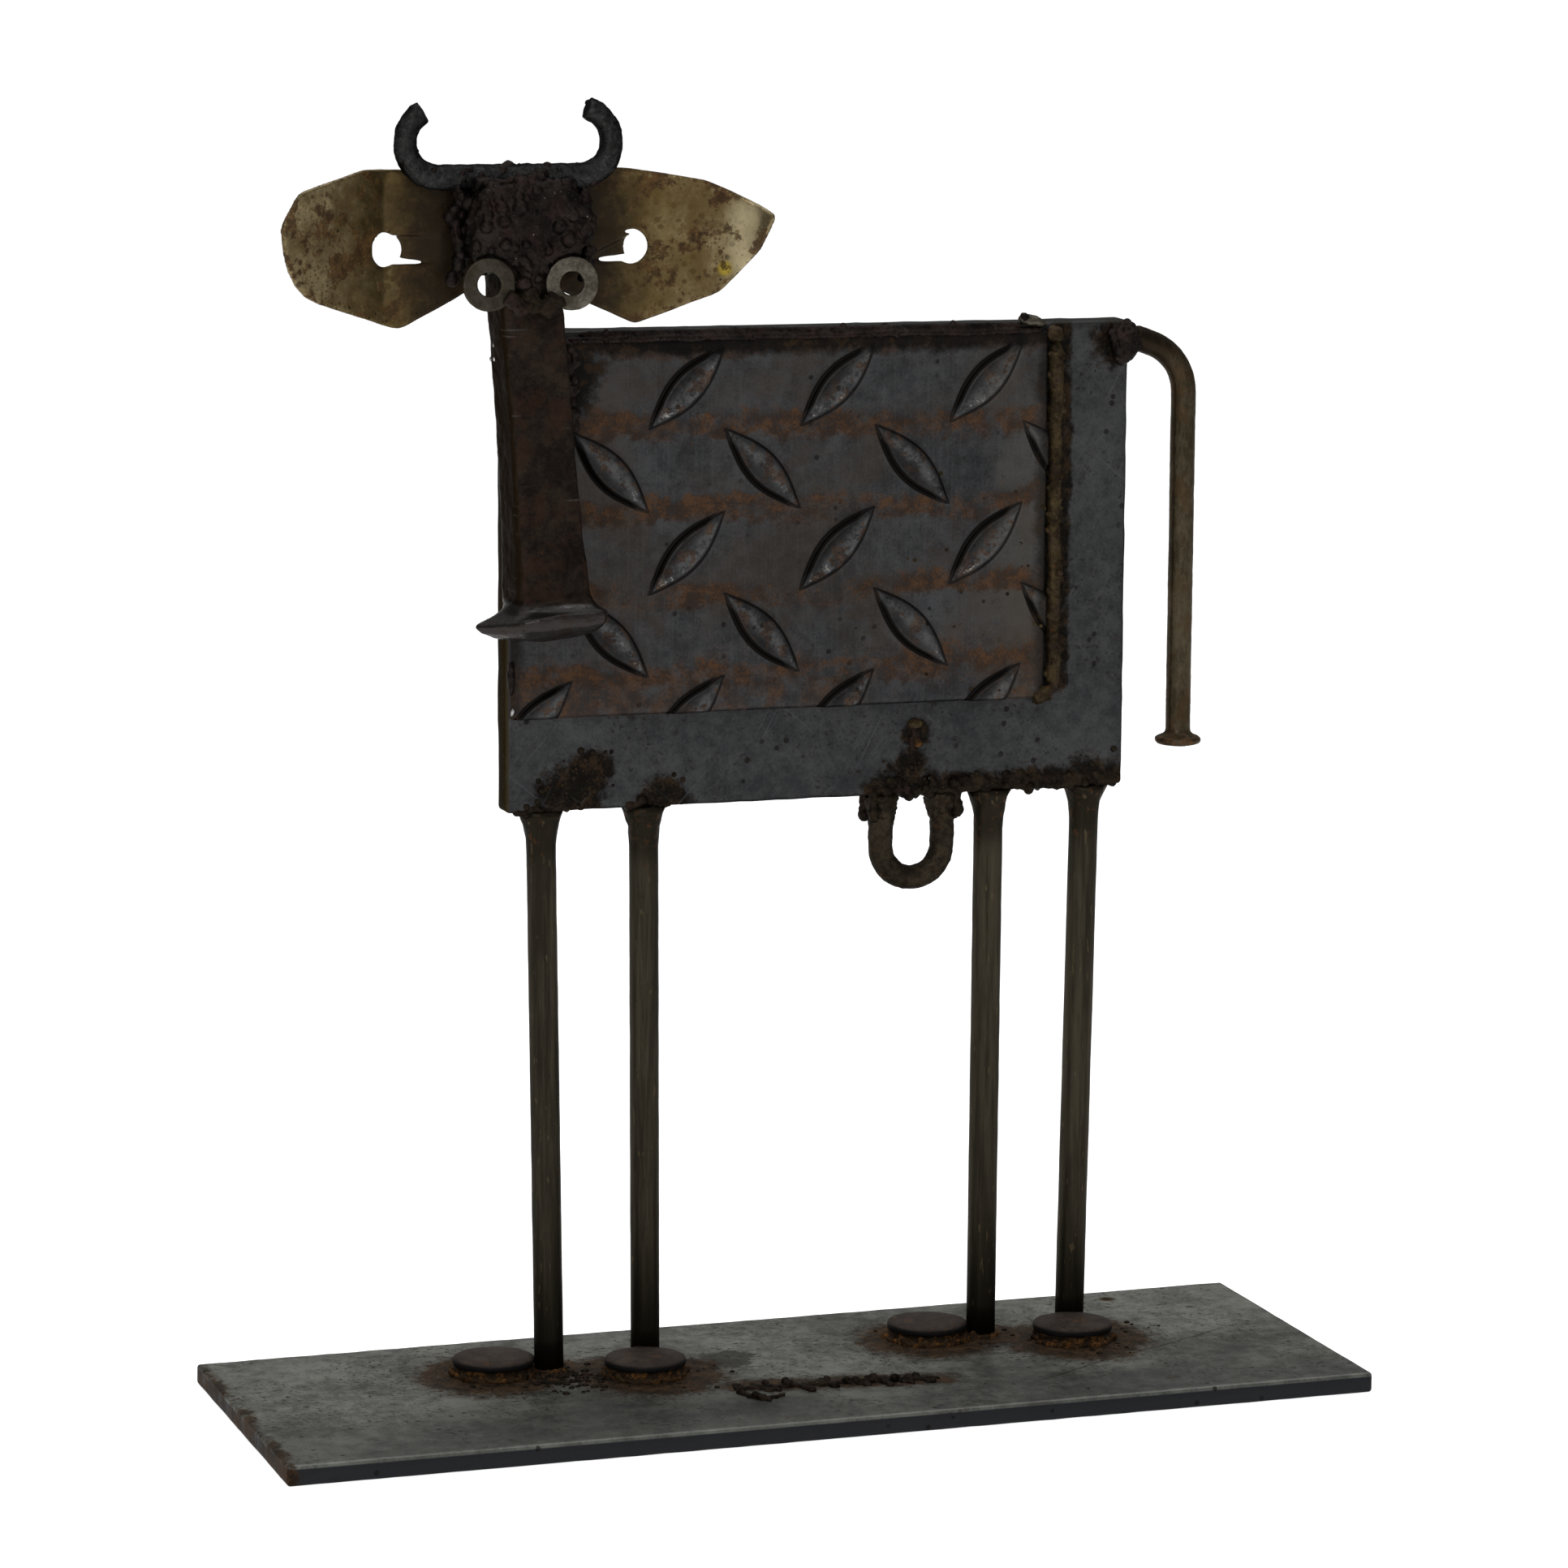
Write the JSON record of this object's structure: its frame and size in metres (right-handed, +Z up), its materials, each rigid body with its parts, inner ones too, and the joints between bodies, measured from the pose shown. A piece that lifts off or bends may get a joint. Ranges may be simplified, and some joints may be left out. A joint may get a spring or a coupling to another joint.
{
  "type": "welded metal cow sculpture",
  "caption": "Standing cow sculpture welded from steel plate, rod, nail, spike, washers and chain on a flat bar base; it stands on a shelf or table as an ornament.",
  "frame": {"origin": "middle of the base's underside, on the surface it stands on", "axes": "+X towards the tail, +Y away from the face with the hide, +Z up"},
  "size_m": [0.262, 0.091, 0.3026],
  "materials": {
    "base_steel": "bare grey-green mill scale with dark specks, rusty round the feet and at the left end",
    "body_steel": "blued dark mill scale, mottled, with faint scratches and heat stains by the welds",
    "tread_steel": "dark tread plate with level rust bands and worn lug crests",
    "rod_steel": "olive-brown rod with lengthwise streaks, sooty at its collars and feet",
    "slug_steel": "brown rusted punch slug with a dark rim and an orange weld collar below",
    "nail_steel": "olive-brown oxide with a fine grain",
    "chain_steel": "charcoal, slightly rough, burnt brown at its welds",
    "spike_iron": "dark red-brown scale, olive on the narrow side, bright along the lip",
    "washer_zinc": "dull grey zinc with brown stains",
    "plated_sheet": "olive-yellow plating freckled with rust and sooty by the head",
    "weld_metal": "rough black and brown weld with small bright specks"
  },
  "bodies": {
    "root": {"base_plate": "base_steel", "body_plate": "body_steel", "tread_plate": "tread_steel", "tread_weld_side": "weld_metal", "tread_weld_top": "weld_metal", "leg_front_outer": "rod_steel", "leg_front_inner": "rod_steel", "leg_hind_inner": "rod_steel", "leg_hind_outer": "rod_steel", "hoof_front_outer": "slug_steel", "hoof_front_inner": "slug_steel", "hoof_hind_inner": "slug_steel", "hoof_hind_outer": "slug_steel", "snout_spike": "spike_iron", "eye_washer_left": "washer_zinc", "eye_washer_right": "washer_zinc", "forehead_weld": "weld_metal", "neck_weld": "weld_metal", "horns": "chain_steel", "ear_left": "plated_sheet", "ear_right": "plated_sheet", "tail_nail": "nail_steel", "tail_weld": "weld_metal", "udder_loop": "chain_steel"}
  },
  "joints": []
}
